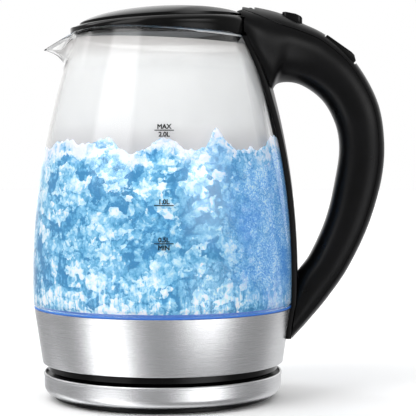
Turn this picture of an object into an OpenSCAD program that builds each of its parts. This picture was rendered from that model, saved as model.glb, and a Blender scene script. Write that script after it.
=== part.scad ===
// Cordless glass kettle on a 360-degree power base.
// Origin: centre of the ring foot on the resting plane. +Z up, +X towards the handle, spout at -X.

/* [Jug] */
// Greatest outer radius of the glass
glass_max_r = 82; // [80:0.5:84]
// Height of the glass's widest point
glass_max_z = 76; // [74:1:78]
// Radius of the arc that the glass wall follows
glass_arc_r = 450; // [440:5:460]
// Glass wall thickness
glass_wall = 3; // [2.4:0.1:3.4]
// Height of the glass neck's rim on the body axis
neck_z = 229; // [228.8:0.1:229.2]

/* [Steel band] */
// Lower edge of the band
band_z0 = 23; // [22.5:0.5:23.5]
// Upper edge of the band
band_z1 = 57.5; // [57:0.5:58]
// Radius at the lower edge
band_r0 = 76; // [75.5:0.5:76.5]
// Radius at the upper edge
band_r1 = 81.2; // [80.8:0.2:81.4]
// Sheet thickness
sheet = 0.9; // [0.7:0.1:1.0]

/* [Power base] */
// Outer radius of the base's steel ring
base_r = 75; // [74.5:0.5:75.5]
// Height of the base's steel ring
base_h = 17; // [16.8:0.1:17.2]
// Radius of the cable gland's bore
gland_bore_r = 3.5; // [3:0.1:3.8]

/* [Lid and collar] */
// Outer radius of the collar
collar_r = 58.4; // [58.2:0.1:58.5]
// Radius of the lid
lid_r = 52.4; // [52:0.1:52.5]
// Height of the lid's seam on the body axis
seam_z = 235.6; // [235.4:0.1:235.8]
// Slope of the lid's seam, rising towards the handle
seam_tilt = 3; // [2.8:0.1:3.2]
// Height of the lid's dome above the seam
dome_h = 10.7; // [10.2:0.1:11.2]

/* [Handle] */
// Thickness of the strip that lies on the glass
strip_t = 3.2; // [3:0.1:3.4]
// Wall of the handle's shells
shell_t = 2.4; // [2:0.1:2.6]
// Squareness of the grip's section, 2 is an ellipse
grip_power = 2.4; // [2.2:0.1:2.6]

/* [Hidden] */
$fn = 96;
e = 0.01;                       // overlap that keeps joined faces clean
run = 0.3;                      // gap between surfaces that move past each other
wall_step = 5;                  // spacing of points along the glass arc
tip_x = 73.6;                   // centre of the spout lip's rounding
tip_z = 220;
glass_foot_z = 58.6;            // lower edge of the glass, on its seal
neck_tilt = 2.5;                // slope of the glass rim, falling towards the handle
dome_end = 54.5;                // radius where the lid's dome would meet the seam
hinge = [54.8, 242.4];          // lid hinge axis, x and z
pin_r = 1.2;
knuckle_r = 2.1;
lug_y = [6.5, 12.5];            // the lid's two hinge lugs
lug_r = 2.5;
pivot_run = 0.05;               // play of a lug or the switch on its pin
web_y = [[-18, -13.1], [-5.9, -4.2], [4.2, 5.9], [13.1, 18]]; // the collar's hinge knuckles
plug_r = 47.5;                  // lid's plug inside the collar
collar_bore = 49.5;
button_x = [75.2, 87.8];        // lid button, front and rear edges
button_mid = (button_x[0] + button_x[1]) / 2;
button_y = 9;
button_foot_z = 232;
spring_seat_z = 222;
switch_at = [103.7, 229.9];     // upper end of the power switch, x and z
switch_slope = 41.5;
switch_y = 8;
switch_pivot = [3, -7.8];       // pivot in the switch's own frame
cheek_y = [8.4, 9.2];           // inner frame's two cheeks
socket_r = 15.5;                // hub of the base's 360-degree socket
key_r = 19.2;                   // pitch radius of the shutter's drive keys
wire_z = 43.5;                  // wires' way through the band
foot_screw = [8, 47.4];         // handle screws, y and z
foot_ring_r = [58, 64];
ring_turn_z = 9.2;              // where the steel ring's wall starts to turn inwards
gland_z = 9.3;
gland_r = 4.6;                  // cord gland, outside
gland_flange_r = 5.3;
boss_pitch = 42;                // screws of the base, radius
cover_pitch = 52;               // screws of the jug's base cover, radius
screw_shank_r = 1.45;
screw_bore_r = 1.7;             // clearance bore
screw_head_r = 3;

// Stations along the grip: outer x, outer z, inner x, inner z, half width
stations = [
    [50, 246.6, 47, 222, 31], [60, 245.8, 57, 205, 30], [74.6, 242.4, 66, 190, 24.5],
    [88, 236.4, 72.5, 198.5, 19.5], [103.5, 228.6, 86, 198.3, 16], [121.4, 212.4, 100.4, 188.6, 14.6],
    [135.4, 188, 109, 174, 14], [140, 163, 111.8, 159, 14], [138.4, 138, 110, 142, 14],
    [130, 108.6, 103.8, 114.5, 14], [117.3, 82, 93.6, 91, 14], [104.6, 63.4, 84.5, 78, 14.4],
    [92, 48.3, 78, 62, 15], [82, 37.5, 72, 48, 15.6]];
steps = 4;                      // rings between two stations
cover_half = 50;                // half angle of the palm cover in the section
cover_gap = 0.8;                // gap between the shells' edges, in degrees of the section

// ---- shared functions ----

function glass_r(z) = glass_max_r - (z - glass_max_z) * (z - glass_max_z) / (2 * glass_arc_r);
function band_r(z) = band_r0 + (band_r1 - band_r0) * (z - band_z0) / (band_z1 - band_z0);
function body_r(z) = z < band_z1 ? band_r(z) : glass_r(z);
// Heights from a to b, with points shared by every wall outline
function zs(a, b) = concat([a],
    [for (i = [-12:40]) let (z = band_z1 + i * wall_step) if (z > a + e && z < b - e) z], [b]);
// Closed outline between two offsets of the jug's wall
function wall_band(a, b, inner, outer) = concat(
    [for (z = zs(a, b)) [body_r(z) + outer, z]],
    [for (i = [len(zs(a, b)) - 1:-1:0]) [body_r(zs(a, b)[i]) + inner, zs(a, b)[i]]]);
function arc(c, r, a, b, n = 8) =
    [for (i = [0:n]) let (t = a + (b - a) * i / n) [c.x + r * cos(t), c.y + r * sin(t)]];
function unit(v) = v / norm(v);

// Smooth curve through rows of numbers
function blend4(p, t) = 0.5 * (2 * p[1] + (p[2] - p[0]) * t
    + (2 * p[0] - 5 * p[1] + 4 * p[2] - p[3]) * t * t
    + (3 * p[1] - p[0] - 3 * p[2] + p[3]) * t * t * t);
function smooth(rows, n) = let (last = len(rows) - 1)
    [for (i = [0:last - 1]) for (k = [0:(i == last - 1 ? n : n - 1)])
        blend4([rows[max(i - 1, 0)], rows[i], rows[i + 1], rows[min(i + 2, last)]], k / n)];

// Grip section: squared ellipse between a station's outer and inner points, inset by t
function power(c) = sign(c) * pow(abs(c), 2 / grip_power);
function grip_point(s, a, t) = let (out = [s[0], s[1]], inn = [s[2], s[3]], mid = (out + inn) / 2,
    deep = norm(out - inn) / 2 - t, p = mid + unit(out - inn) * deep * power(cos(a)))
    [p.x, (s[4] - t) * power(sin(a)), p.y];
function shell_ring(s, a, b, n) = concat([for (i = [0:n]) grip_point(s, a + (b - a) * i / n, 0)],
    [for (i = [n:-1:0]) grip_point(s, a + (b - a) * i / n, shell_t)]);

// Skin over rings that have the same even count of points
module skin(rings) {
    m = len(rings[0]);
    top = (len(rings) - 1) * m;
    polyhedron(points = [for (r = rings) for (p = r) p], convexity = 8, faces = concat(
        [for (i = [0:len(rings) - 2]) for (j = [0:m - 1]) let (a = i * m + j, b = i * m + (j + 1) % m)
            each [[a, b, b + m], [a, b + m, a + m]]],
        [for (j = [0:m / 2 - 2]) each [[m - 2 - j, j + 1, j], [m - 1 - j, m - 2 - j, j]]],
        [for (j = [0:m / 2 - 2]) each [[top + j, top + j + 1, top + m - 2 - j],
            [top + j, top + m - 2 - j, top + m - 1 - j]]]));
}

// Round tube along a path; side is a direction that the path never follows
module tube(path, r, sides, side) {
    last = len(path) - 1;
    skin([for (i = [0:last]) let (t = unit(path[min(i + 1, last)] - path[max(i - 1, 0)]),
        v = unit(side - (side * t) * t), u = cross(t, v))
        [for (k = [0:sides - 1]) path[i] + r * (u * cos(360 * k / sides) + v * sin(360 * k / sides))]]);
}

// Keeps the size; the whole shell becomes one mesh
module as_mesh() resize([0, 0, 0]) children();

module round_rect(l, w, r) {
    square([l - 2 * r, w], center = true);
    square([l, w - 2 * r], center = true);
    for (x = [-1, 1], y = [-1, 1]) translate([x * (l / 2 - r), y * (w / 2 - r)]) circle(r);
}

module ring(r0, r1, z0, z1) {
    translate([0, 0, z0]) difference() {
        cylinder(r = r1, h = z1 - z0);
        translate([0, 0, -1]) cylinder(r = r0, h = z1 - z0 + 2);
    }
}

// Prism along Y of an outline in X and Z, centred on y = 0
module slab(w) {
    translate([0, w / 2, 0]) rotate([90, 0, 0]) linear_extrude(w) children();
}

module spread(n, r, start = 0) {
    for (i = [0:n - 1]) rotate([0, 0, start + 360 * i / n]) translate([r, 0, 0]) children();
}

// Frame of the tilted lid seam
module on_seam() {
    translate([0, 0, seam_z]) rotate([0, -seam_tilt, 0]) children();
}

// Frame of the power switch: X down the slope, Z outwards
module on_switch() {
    translate([switch_at.x, 0, switch_at.y]) rotate([0, switch_slope, 0]) children();
}

// ---- power base ----

module base_shell() color([0.05, 0.05, 0.06]) {
    difference() {
        union() {
            rotate_extrude() polygon([[15.8, 11.4], [68, 11.4], [70.5, 9.4], [74, 9.4], [74, 15.4],
                [22.6, 15.4], [22.6, 14.4], [15.8, 14.4]]);
            spread(4, boss_pitch, 45) translate([0, 0, 5]) cylinder(r = 4, h = 8);
        }
        spread(4, boss_pitch, 45) translate([0, 0, 4]) cylinder(r = 1.5, h = 8.6);
        gland_hole();
        translate([0, 60, gland_z]) rotate([-90, 0, 0]) cylinder(r = gland_flange_r + 0.2, h = 8.1);
    }
}

module gland_hole() translate([0, 60, gland_z]) rotate([-90, 0, 0]) cylinder(r = gland_r + 0.2, h = 20);

module base_trim_ring() color([0.75, 0.76, 0.78]) {
    bottom_r = 6;
    difference() {
        rotate_extrude() polygon(concat(
            [[base_r, base_h - 1.6], [base_r + 0.35, base_h - 1.2], [base_r + 0.35, base_h - 0.4],
             [base_r, base_h], [base_r - sheet, base_h]],
            arc([base_r - bottom_r, ring_turn_z], bottom_r - sheet, 0, -80),
            arc([base_r - bottom_r, ring_turn_z], bottom_r, -80, 0)));
        gland_hole();
    }
}

module base_bottom_cover() color([0.06, 0.06, 0.07]) {
    difference() {
        translate([0, 0, 1.6]) cylinder(r = 69, h = 2);
        ring(foot_ring_r[0] - 0.1, foot_ring_r[1] + 0.1, 1, 2.4);
        spread(4, boss_pitch, 45) cylinder(r = screw_bore_r, h = 10);
        spread(4, boss_pitch, 45) cylinder(r = screw_head_r + run, h = 2.6);
    }
}

module base_foot_ring() color([0.12, 0.12, 0.12]) ring(foot_ring_r[0], foot_ring_r[1], 0, 2.4);

module base_screws() color([0.6, 0.6, 0.62]) spread(4, boss_pitch, 45) {
    translate([0, 0, 1.2]) cylinder(r = screw_head_r, h = 1.4);
    translate([0, 0, 2]) cylinder(r = screw_shank_r, h = 9);
}

module base_socket() color([0.1, 0.1, 0.1]) {
    difference() {
        union() {
            translate([0, 0, 5]) cylinder(r = socket_r, h = 20);
            translate([0, 0, 9.2]) cylinder(r = 21, h = 2);
        }
        translate([0, 0, 8]) cylinder(r = 3.4, h = 20);
        ring(6.5, 8.8, 8, 30);
        ring(10.5, 12.6, 8, 30);
    }
}

module base_contacts() color([0.85, 0.65, 0.25]) {
    ring(2.6, 3.3, 8.2, 22);
    ring(8, 8.7, 8.2, 22);
    ring(11.9, 12.5, 8.2, 22);
}

module cord_gland() color([0.08, 0.08, 0.08]) translate([0, 66, gland_z]) rotate([-90, 0, 0]) difference() {
    union() {
        cylinder(r = gland_r, h = 10);
        cylinder(r = gland_flange_r, h = 2);
    }
    translate([0, 0, -1]) cylinder(r = gland_bore_r, h = 12);
}

// ---- safety shutter that turns with the jug ----

module swivel_shutter() color([0.16, 0.16, 0.17]) {
    ring(socket_r + run, 22.2, 14.6, 16.9);
    spread(3, key_r) translate([0, 0, 16.8]) cylinder(r = 1, h = 2.6, $fn = 48);
}

// ---- jug, underside ----

module jug_base_cover() color([0.03, 0.03, 0.035]) {
    difference() {
        union() {
            rotate_extrude() polygon([[23.2, 17.2], [70, 17.2], [72.6, 19], [72.6, 26], [70.6, 26],
                [70.6, 19.6], [25.4, 19.6], [25.4, 24], [23.2, 24]]);
            ring(60, 66, 15.5, 17.4);
            spread(3, cover_pitch, 30) translate([0, 0, 19]) cylinder(r = 3.6, h = 6);
        }
        spread(3, cover_pitch, 30) translate([0, 0, 15]) cylinder(r = screw_bore_r, h = 20);
        spread(3, cover_pitch, 30) translate([0, 0, 15]) cylinder(r = screw_head_r + run, h = 4.4);
    }
}

module jug_cover_screws() color([0.6, 0.6, 0.62]) spread(3, cover_pitch, 30) {
    translate([0, 0, 17.5]) cylinder(r = screw_head_r, h = 1.8);
    translate([0, 0, 18]) cylinder(r = screw_shank_r, h = 33.9);
}

module steel_band() color([0.74, 0.75, 0.77]) {
    difference() {
        rotate_extrude() polygon([[72.8, band_z0], [band_r0, band_z0], [band_r(27), 27], [band_r1, band_z1],
            [band_r1 - 2.2, band_z1], [band_r1 - 2.2, band_z1 - sheet],
            [band_r1 - sheet - 0.1, band_z1 - sheet], [band_r0 - sheet + 0.1, band_z0 + sheet],
            [72.8, band_z0 + sheet]]);
        foot_holes(1.8);
    }
}

// Holes of the handle's foot: one for the wires, two for screws
module foot_holes(screw_r) {
    translate([70, 0, wire_z]) rotate([0, 90, 0]) cylinder(r = 3.6, h = 20);
    for (y = [-1, 1]) translate([70, y * foot_screw.x, foot_screw.y]) rotate([0, 90, 0])
        cylinder(r = screw_r, h = 20);
}

module heating_plate() color([0.8, 0.8, 0.82]) rotate_extrude()
    polygon([[0, 56], [72, 56], [72, 50], [78.2, 50], [78.2, 51], [73.2, 51], [73.2, 57.2], [0, 57.2]]);

module heat_spreader() color([0.7, 0.7, 0.7]) translate([0, 0, 52.2]) cylinder(r = 50, h = 3.8);

module heating_element() color([0.45, 0.43, 0.4]) {
    sweep_deg = 296;
    rotate([0, 0, 32]) rotate_extrude(angle = sweep_deg) translate([38, 48.8]) circle(3.4);
    for (a = [32, 32 + sweep_deg]) rotate([0, 0, a]) translate([38, 0, 36]) cylinder(r = 3.4, h = 12.8);
}

module thermostat_control() color([0.85, 0.84, 0.8]) {
    translate([0, 0, 29.2]) cylinder(r = 21, h = 9);
    translate([-15, -12, 38]) cube([30, 24, 8]);
    for (y = [-14, 14]) translate([0, y, 38]) cylinder(r = 8.5, h = 14.2);
}

module connector_housing() color([0.1, 0.1, 0.11]) difference() {
    union() {
        ring(16, 22.6, 17.4, 27);
        translate([0, 0, 26.6]) cylinder(r = 22.6, h = 2.6);
    }
    spread(3, key_r) translate([0, 0, 16]) cylinder(r = 1.3, h = 4.2, $fn = 48);
}

module connector_pins() color([0.85, 0.65, 0.25]) {
    translate([0, 0, 12]) cylinder(r = 2, h = 14.6);
    ring(6.9, 7.6, 12, 26.6);
    ring(10.9, 11.5, 12, 26.6);
}

module led_board() color([0.85, 0.86, 0.84]) ring(74, 77.9, 51, 52);

module leds() color([0.5, 0.75, 1]) spread(12, 76) translate([-1.4, -1.4, 52]) cube([2.8, 2.8, 1.2]);

module light_ring() color([0.2, 0.45, 0.95]) ring(73.6, 78.5, 53.4, 56.4);

module plate_seal() color([0.1, 0.25, 0.85]) rotate_extrude()
    polygon([[73.4, 56.6], [78.4, 56.6], [78.4, 57.8], [81.2, 57.8], [81.2, 58.4], [78.4, 58.4],
        [78.2, 62.6], [76.6, 62.6], [73.4, 59]]);

// ---- jug, glass and neck ----

module spout_hull(inset, lift) hull() {
    for (y = [-1, 1]) {
        translate([-50 + inset, y * (18 - inset), 228.2 + lift]) sphere(r = 3, $fn = 32);
        translate([-tip_x + 0.5 * inset, y * (2.4 - 0.6 * inset), tip_z + lift]) sphere(r = 2.5, $fn = 32);
    }
    translate([-54 + inset, 0, 214 + lift]) sphere(r = 6, $fn = 32);
}

// Everything above the sloping glass rim
module above_neck(gap) translate([0, 0, neck_z + gap]) rotate([0, neck_tilt, 0])
    translate([-90, -90, 0]) cube([180, 180, 40]);

module glass_body() color([0.85, 0.92, 0.98, 0.35]) difference() {
    union() {
        rotate_extrude() polygon(concat([[0, glass_foot_z]],
            [for (z = zs(glass_foot_z, neck_z + 4)) [glass_r(z), z]], [[0, neck_z + 4]]));
        spout_hull(0, 0);
    }
    translate([0, 0, -e]) rotate_extrude() polygon(concat([[0, 58]],
        [for (z = zs(58, neck_z + 6)) [glass_r(z) - glass_wall, z]], [[0, neck_z + 6]]));
    spout_hull(2.4, 4);
    above_neck(0);
}

module collar() color([0.03, 0.03, 0.035]) difference() {
    union() {
        intersection() {
            on_seam() rotate_extrude() polygon(concat([[collar_bore + 1, -16], [collar_r, -16]],
                arc([collar_r - 4, -3.4], 4, 0, 62),
                [[53.4, 0.9], [lid_r + 0.5, 0.9], [lid_r + 0.5, 0], [collar_bore + 1, 0]]));
            above_neck(0.2);
        }
        ring(collar_bore, 51.4, 226.3, seam_z - 3.4);
        for (y = web_y) translate([0, (y[0] + y[1]) / 2, 0]) slab(y[1] - y[0]) {
            translate(hinge) circle(knuckle_r);
            translate([hinge.x - knuckle_r, 232]) square([57.4 - hinge.x + knuckle_r, hinge.y - 232]);
        }
    }
    translate([0, 0, 200]) cylinder(r = collar_bore, h = 60);
    for (y = lug_spans()) translate([48, y[0], hinge.y - 3.6]) cube([12, y[1] - y[0], 10]);
    slab(60) translate(hinge) circle(pin_r);
    translate([45, -5.6, 228.9]) cube([16, 11.2, 2.8]);
}

function lug_spans() = [[-lug_y[1] - run, -lug_y[0] + run], [lug_y[0] - run, lug_y[1] + run]];

module hinge_pin() color([0.7, 0.7, 0.72]) slab(36) translate(hinge) circle(pin_r);

module lid_spring() color([0.6, 0.6, 0.6]) {
    turns = 7;
    coil_r = 1.75;
    translate([hinge.x, -3.6, hinge.y]) tube([for (i = [0:turns * 12])
        [coil_r * cos(30 * i), 7.2 * i / (turns * 12), coil_r * sin(30 * i)]], 0.3, 8, [0, 1, 0]);
}

// ---- handle ----

// Everything that the handle's shells stay clear of: jug wall with strip, collar, lid and hinge
module handle_keep_out() {
    rotate_extrude() polygon(concat([[0, 20]],
        [for (z = zs(30, neck_z - 0.4)) [body_r(z) + strip_t + 0.5, z]],
        [[59.2, neck_z - 0.4], [59.2, 237.4], [53.8, 240.2], [53.8, 260], [0, 260]]));
    translate([30, -18.6, 230]) cube([27.8, 37.2, 30]);
}

module handle_strip() color([0.05, 0.05, 0.055]) difference() {
    intersection() {
        rotate_extrude() polygon(wall_band(38, neck_z - 2.8, 0.3, strip_t + 0.3));
        translate([40, 0, 0]) rotate([90, 0, 90]) linear_extrude(60)
            polygon(concat([for (w = strip_width()) w], [for (i = [len(strip_width()) - 1:-1:0])
                [-strip_width()[i].x, strip_width()[i].y]]));
    }
    foot_holes(1.5);
}

// Half width of the strip at each height
function strip_width() = smooth([[13.6, 36], [14.6, 80], [15, 140], [18.6, 172], [24, 202], [31, 232]], 3);

module button_hole(gap) translate([button_mid, 0, 225])
    linear_extrude(30) round_rect(button_x[1] - button_x[0] + 2 * gap, 2 * (button_y + gap), 3);

module switch_hole() on_switch() translate([-0.1, -switch_y - 0.5, -8]) cube([26.3, 2 * switch_y + 1, 20]);

module handle_body() color([0.04, 0.04, 0.045]) as_mesh() difference() {
    seam = cover_half + cover_gap;
    skin([for (s = smooth(stations, steps)) shell_ring(s, seam, 360 - seam, 18)]);
    handle_keep_out();
}

module handle_cover() color([0.05, 0.05, 0.055]) as_mesh() difference() {
    skin([for (s = smooth(stations, steps)) shell_ring(s, -cover_half, cover_half, 10)]);
    handle_keep_out();
    button_hole(0.4);
    switch_hole();
}

module handle_frame() color([0.12, 0.12, 0.13]) {
    pivot = [switch_at.x + switch_pivot.x * cos(switch_slope) + switch_pivot.y * sin(switch_slope),
        switch_at.y - switch_pivot.x * sin(switch_slope) + switch_pivot.y * cos(switch_slope)];
    difference() {
        for (y = [-1, 1]) translate([0, y * (cheek_y[0] + cheek_y[1]) / 2, 0]) slab(cheek_y[1] - cheek_y[0])
            polygon([[64, 231], [73, 231], [80, 227], [92, 224], [104, 220], [110, 206], [105, 199],
                [92, 205], [78, 209], [72, 209]]);
        slab(40) translate(pivot) circle(pin_r);
    }
    translate([76, -cheek_y[0] - e, spring_seat_z - 2]) cube([11, 2 * cheek_y[0] + 2 * e, 2]);
}

module switch_pin() color([0.7, 0.7, 0.72])
    on_switch() slab(2 * cheek_y[1]) translate(switch_pivot) circle(pin_r);

module handle_screws() color([0.6, 0.6, 0.62]) for (y = [-1, 1])
    translate([76.4, y * foot_screw.x, foot_screw.y]) rotate([0, 90, 0]) {
        cylinder(r = screw_shank_r, h = 6);
        cylinder(r = 2.3, h = 1.4);
    }

module steam_thermostat() color([0.9, 0.88, 0.84]) translate([93, 0, 211]) rotate([0, 25, 0]) {
    translate([0, 0, -3]) cylinder(r = 7.6, h = 6);
    translate([0, 0, 3]) cylinder(r = 6.2, h = 1.2);
}

// Wires from the control, through the band and up the hollow grip
module wire_harness() color([0.5, 0.1, 0.1]) {
    way = [[23, wire_z - 6], [44, wire_z - 4], [66, wire_z - 1], [77, wire_z], [83.4, wire_z + 1.6],
        [93, 58], [104, 80], [117, 112], [124, 140], [126, 162], [121, 184], [110, 199], [103, 205]];
    for (y = [-1.3, 1.3]) tube([for (p = smooth(way, 3)) [p.x, y, p.y]], 0.9, 8, [0, 1, 0]);
}

// ---- lid ----

// Height of the lid's dome over the seam
function dome(r) = dome_h * pow(1 - r * r / (dome_end * dome_end), 0.55);
function dome_line(edge_r, drop) =
    [for (i = [0:14]) let (c = cos(90 * i / 14)) [edge_r * c, dome(lid_r * c) - drop]];

module lid_cap() color([0.02, 0.02, 0.025]) difference() {
    on_seam() rotate_extrude() difference() {
        polygon(concat([[0, 0.4], [lid_r, 0.4]], dome_line(lid_r, 0)));
        polygon(concat([[0, 0], [lid_r - 2.2, 0]], dome_line(lid_r - 2.2, 2.2)));
    }
    for (y = lug_spans()) translate([46.5, y[0], 236]) cube([8, y[1] - y[0], 12]);
}

module lid_inner() color([0.07, 0.07, 0.08]) {
    difference() {
        on_seam() rotate_extrude() polygon([[0, -6], [plug_r - 1, -6], [plug_r, -5], [plug_r, 0.4],
            [49.4, 0.4], [48, 1.3], [plug_r - 2, 1.3], [plug_r - 2, -4.4], [0, -4.4]]);
        translate([44, -5.4, 228]) cube([12, 10.8, 8.4]);
    }
    for (y = [-1, 1]) translate([0, y * (lug_y[0] + lug_y[1]) / 2, 0]) difference() {
        slab(lug_y[1] - lug_y[0]) {
            translate(hinge) circle(lug_r);
            polygon([[46.8, 239], [48, 239], [hinge.x, hinge.y - lug_r], [hinge.x, hinge.y + lug_r],
                [51, hinge.y + 1.9], [46.8, hinge.y + 0.6]]);
        }
        slab(20) translate(hinge) circle(pin_r + pivot_run);
    }
}

module lid_gasket() color([0.35, 0.36, 0.37]) on_seam() ring(plug_r + 0.05, 49, -4.4, -2);

module lid_catch() color([0.75, 0.76, 0.78]) {
    translate([45.6, -4, 229.8]) cube([1.4, 8, 6.6]);
    translate([45.6, -4, 229.8]) cube([2.8, 8, 1.6]);
}

// ---- controls ----

module release_button() color([0.03, 0.03, 0.035]) {
    difference() {
        intersection() {
            button_hole(0);
            slab(40) polygon([[70, 234], [92, 234], [92, 237.8], [88, 239], [86.8, 240.2], [83.5, 241.7],
                [77, 243], [74, 243]]);
        }
        translate([0, 0, -e]) slab(12) polygon([[77.4, 233], [85.6, 233], [85.6, 236.4], [77.4, 240]]);
    }
    translate([button_mid, 0, button_foot_z]) cylinder(r = 4.6, h = 3);
    translate([button_mid - 3.5, -7, 233.4]) cube([7, 14, 1.4]);
}

module button_spring() color([0.6, 0.6, 0.6]) {
    turns = 5;
    wire = 0.4;
    high = button_foot_z - spring_seat_z - 2 * wire;
    translate([button_mid, 0, spring_seat_z + wire]) tube([for (i = [0:turns * 12])
        [3.4 * cos(30 * i), 3.4 * sin(30 * i), high * i / (turns * 12)]], wire, 8, [0, 0, 1]);
}

module latch_slider() color([0.8, 0.8, 0.78]) {
    translate([49.8, -5, 229.5]) cube([20, 10, 1.8]);
    slab(10) polygon([[69, 229.5], [74, 229.5], [72.2, 231.3], [69, 231.3]]);
}

module power_switch() color([0.02, 0.02, 0.022]) on_switch() difference() {
    union() {
        slab(2 * switch_y) polygon([[0.4, -5], [24.6, -5], [24.9, -1.4], [21.6, 0.8], [19, 1], [0.5, -1.1]]);
        slab(2 * switch_y) translate(switch_pivot) circle(2.6);
        slab(2 * switch_y) polygon([[0.4, -7.8], [5.6, -7.8], [5.6, -4], [0.4, -4]]);
    }
    slab(40) translate(switch_pivot) circle(pin_r + pivot_run);
    translate([7, -switch_y + 1.6, -6]) cube([15, 2 * switch_y - 3.2, 4]);
}

base_shell();
base_trim_ring();
base_bottom_cover();
base_foot_ring();
base_screws();
base_socket();
base_contacts();
cord_gland();
swivel_shutter();
jug_base_cover();
jug_cover_screws();
steel_band();
heating_plate();
heat_spreader();
heating_element();
thermostat_control();
connector_housing();
connector_pins();
led_board();
leds();
light_ring();
plate_seal();
glass_body();
collar();
hinge_pin();
lid_spring();
handle_strip();
handle_body();
handle_cover();
handle_frame();
handle_screws();
steam_thermostat();
wire_harness();
switch_pin();
lid_cap();
lid_inner();
lid_gasket();
lid_catch();
release_button();
button_spring();
latch_slider();
power_switch();
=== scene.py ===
import math
import bpy
import bmesh
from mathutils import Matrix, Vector, noise


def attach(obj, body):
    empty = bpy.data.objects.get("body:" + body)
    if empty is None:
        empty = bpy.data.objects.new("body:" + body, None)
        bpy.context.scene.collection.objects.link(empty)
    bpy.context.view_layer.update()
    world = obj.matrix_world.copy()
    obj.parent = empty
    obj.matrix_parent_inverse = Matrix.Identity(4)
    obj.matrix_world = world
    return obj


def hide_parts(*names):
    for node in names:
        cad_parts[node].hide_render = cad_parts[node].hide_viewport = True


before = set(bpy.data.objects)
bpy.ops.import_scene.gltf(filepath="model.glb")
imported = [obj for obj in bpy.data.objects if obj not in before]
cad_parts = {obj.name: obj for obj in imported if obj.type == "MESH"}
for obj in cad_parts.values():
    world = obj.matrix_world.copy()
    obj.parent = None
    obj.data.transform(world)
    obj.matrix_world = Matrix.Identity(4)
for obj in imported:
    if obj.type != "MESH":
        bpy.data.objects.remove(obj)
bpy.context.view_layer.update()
MM = 0.001
TAU = 2 * math.pi

# ---------------------------------------------------------------- camera
CAMERA_AT = (0.0286, -0.887, 0.1495)
PITCH_DOWN = math.radians(1.92)
camera = bpy.data.objects.new("camera", bpy.data.cameras.new("camera"))
camera.data.sensor_width = 36
camera.data.lens = 121
camera.data.clip_start, camera.data.clip_end = 0.01, 50
camera.location = CAMERA_AT
camera.rotation_euler = (math.pi / 2 - PITCH_DOWN, 0, 0)
bpy.context.scene.collection.objects.link(camera)
bpy.context.scene.camera = camera

# ---------------------------------------------------------------- sizes in mm, as the CAD draws them
GLASS_MAX_R, GLASS_MAX_Z, GLASS_ARC = 82, 76, 450
GLASS_WALL, GLASS_FOOT, NECK = 3, 58.6, 229
BAND_Z0, BAND_Z1, BAND_R0, BAND_R1 = 23, 57.5, 76, 81.2
SEAM_Z, SEAM_TILT, NECK_TILT = 235.6, math.radians(3), math.radians(2.5)
COLLAR_R, COLLAR_BORE, LID_R, DOME_H, DOME_END = 58.4, 49.5, 52.4, 10.7, 54.5
HINGE_X, HINGE_Z, KNUCKLE_R = 54.8, 242.4, 2.1
PIN_R, HINGE_SLOT_Z = 1.2, HINGE_Z - 3.6
LUGS = (6.2, 12.8)
KNUCKLES = ((-18, -13.1), (-5.9, -4.2), (4.2, 5.9), (13.1, 18))
GLAND_Z, GLAND_HOLE_R = 9.3, 4.8
STRIP_T, SHELL_T, GRIP_POWER = 3.2, 2.4, 2.4
SWITCH_AT, SWITCH_SLOPE, SWITCH_Y = (103.7, 229.9), math.radians(41.5), 8


def glass_r(z):
    return GLASS_MAX_R - (z - GLASS_MAX_Z) ** 2 / (2 * GLASS_ARC)


def band_r(z):
    return BAND_R0 + (BAND_R1 - BAND_R0) * (z - BAND_Z0) / (BAND_Z1 - BAND_Z0)


def clamp(v, lo=0.0, hi=1.0):
    return max(lo, min(hi, v))


def smoothstep(lo, hi, v):
    t = clamp((v - lo) / (hi - lo))
    return t * t * (3 - 2 * t)


# ---------------------------------------------------------------- shader helpers
def new_material(name):
    mat = bpy.data.materials.new(name)
    mat.use_nodes = True
    tree = mat.node_tree
    tree.nodes.clear()
    out = tree.nodes.new("ShaderNodeOutputMaterial")
    bsdf = tree.nodes.new("ShaderNodeBsdfPrincipled")
    tree.links.new(bsdf.outputs[0], out.inputs[0])
    return mat, tree, bsdf, out


def node(tree, kind, **values):
    n = tree.nodes.new(kind)
    for key, value in values.items():
        setattr(n, key, value)
    return n


def math_node(tree, operation, a, b=None, c=None, clamped=False):
    n = node(tree, "ShaderNodeMath", operation=operation, use_clamp=clamped)
    for socket, value in zip(n.inputs, (a, b, c)):
        if value is None:
            continue
        if hasattr(value, "is_linked") or hasattr(value, "links"):
            tree.links.new(value, socket)
        else:
            socket.default_value = value
    return n.outputs[0]


def noise_node(tree, scale, detail=4.0, rough=0.5, distortion=0.0, stretch=(1, 1, 1), coords=None):
    if coords is None:
        coords = node(tree, "ShaderNodeTexCoord").outputs["Object"]
    mapping = node(tree, "ShaderNodeMapping")
    mapping.inputs["Scale"].default_value = stretch
    tree.links.new(coords, mapping.inputs[0])
    n = node(tree, "ShaderNodeTexNoise")
    n.inputs["Scale"].default_value = scale
    n.inputs["Detail"].default_value = detail
    n.inputs["Roughness"].default_value = rough
    n.inputs["Distortion"].default_value = distortion
    tree.links.new(mapping.outputs[0], n.inputs["Vector"])
    return n.outputs["Fac"]


def ramp(tree, value, stops):
    n = node(tree, "ShaderNodeValToRGB")
    els = n.color_ramp.elements
    while len(els) < len(stops):
        els.new(0.5)
    for el, (pos, colour) in zip(els, stops):
        el.position = pos
        el.color = (*colour, 1) if len(colour) == 3 else colour
    tree.links.new(value, n.inputs[0])
    return n.outputs[0]


def grey(v):
    return (v, v, v)


def bump(tree, bsdf, height, strength, distance):
    n = node(tree, "ShaderNodeBump")
    n.inputs["Strength"].default_value = strength
    n.inputs["Distance"].default_value = distance
    tree.links.new(height, n.inputs["Height"])
    tree.links.new(n.outputs[0], bsdf.inputs["Normal"])


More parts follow.
